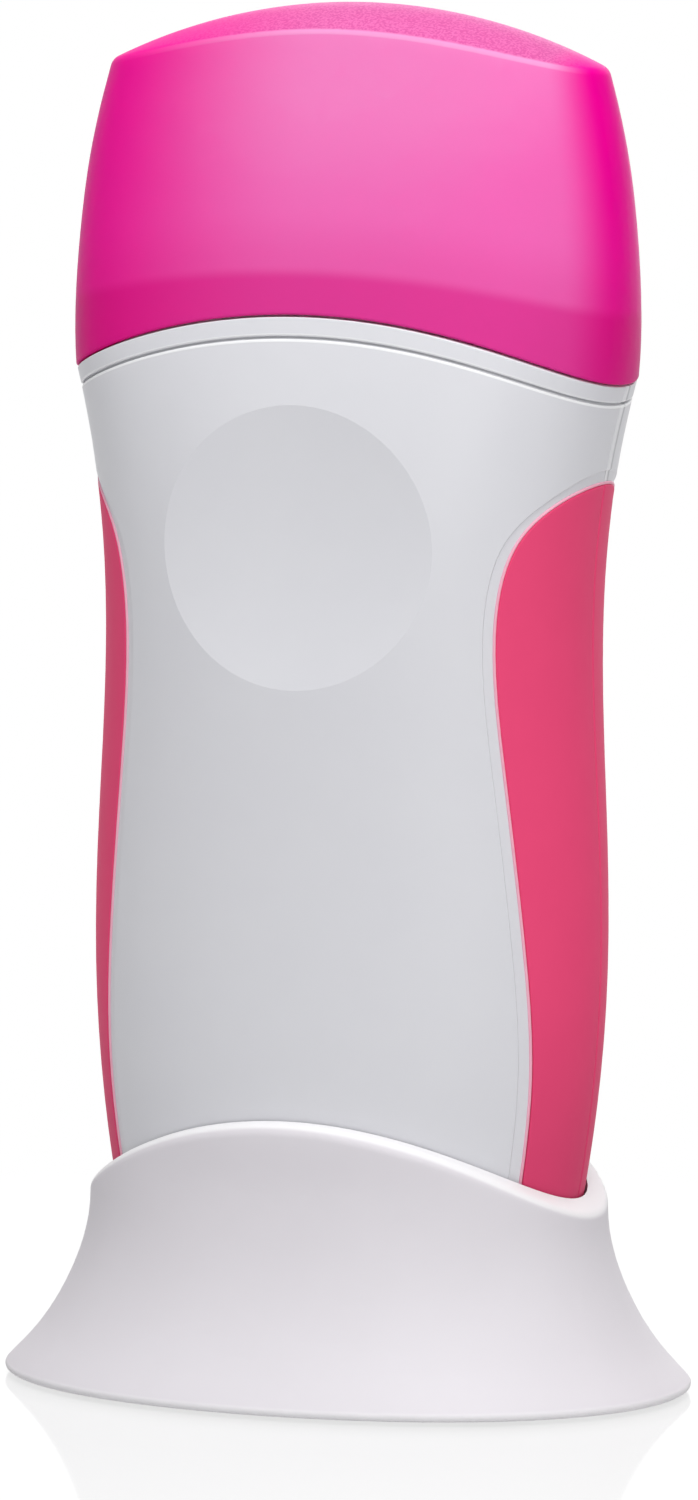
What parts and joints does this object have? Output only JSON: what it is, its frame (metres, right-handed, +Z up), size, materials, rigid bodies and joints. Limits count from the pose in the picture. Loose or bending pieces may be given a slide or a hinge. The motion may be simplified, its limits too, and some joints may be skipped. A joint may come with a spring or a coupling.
{
  "type": "roll on wax heater",
  "caption": "Hand-held roll-on wax warmer with a flat oval body, soft side grips, a translucent push-on cap over a roller cartridge, and a flared stand it rests in.",
  "frame": {"origin": "on the table, under the middle of the stand", "axes": "+Z up, -Y towards the front with the thumb dimple, +X to the right as seen from the front"},
  "size_m": [0.0956, 0.0718, 0.188],
  "materials": {
    "shell": "light cool grey, fine satin",
    "grip": "coral pink, soft matte",
    "neck": "off-white, satin",
    "cap": "frosted translucent pink",
    "stand": "warm light grey, satin",
    "base_plate": "mid grey, fine grain",
    "foot_rubber": "dark grey, matte",
    "screw_steel": "bright plated",
    "chamber": "drawn, satin",
    "heater": "insulated heating element, satin",
    "clamp_steel": "rolled",
    "fuse": "glazed",
    "cradle": "black, heat-resistant",
    "inlet": "black, fine grain",
    "pin_metal": "nickel-free, polished",
    "board": "phenolic brown",
    "components": "dipped",
    "wire": "insulated",
    "tank": "translucent",
    "wax": "set wax, waxy",
    "seal": "soft",
    "head": "white",
    "roller": "white, smooth"
  },
  "bodies": {
    "stand": {"stand_shell": "stand", "stand_base_plate": "base_plate", "stand_feet": "foot_rubber", "stand_screws": "screw_steel"},
    "handset": {"front_shell": "shell", "rear_shell": "shell", "front_grip_right": "grip", "front_grip_left": "grip", "rear_grip_right": "grip", "rear_grip_left": "grip", "neck_frame": "neck", "shell_screws": "screw_steel", "heating_chamber": "chamber", "heater_element": "heater", "heater_clamp": "clamp_steel", "clamp_screws": "screw_steel", "thermal_fuse": "fuse", "chamber_cradle": "cradle", "mains_inlet": "inlet", "inlet_pins": "pin_metal", "circuit_board": "board", "board_components": "components", "board_screws": "screw_steel", "lead_wires": "wire"},
    "cartridge": {"wax_tank": "tank", "wax_fill": "wax", "head_seal": "seal", "roller_head": "head"},
    "roller": {"roller": "roller"},
    "cap": {"cap": "cap"}
  },
  "joints": [
    {"name": "handset_lift", "type": "slide", "parent": "stand", "child": "handset", "axis": [0, 0, 1], "range_m": [0, 0.05]},
    {"name": "cartridge_slide", "type": "slide", "parent": "handset", "child": "cartridge", "axis": [0, 0, 1], "range_m": [0, 0.085]},
    {"name": "roller_spin", "type": "hinge", "parent": "cartridge", "child": "roller", "pos_m": [0, 0, 0.167], "axis": [1, 0, 0], "continuous": true},
    {"name": "cap_pull", "type": "slide", "parent": "cartridge", "child": "cap", "axis": [0, 0, 1], "range_m": [0, 0.055]}
  ]
}
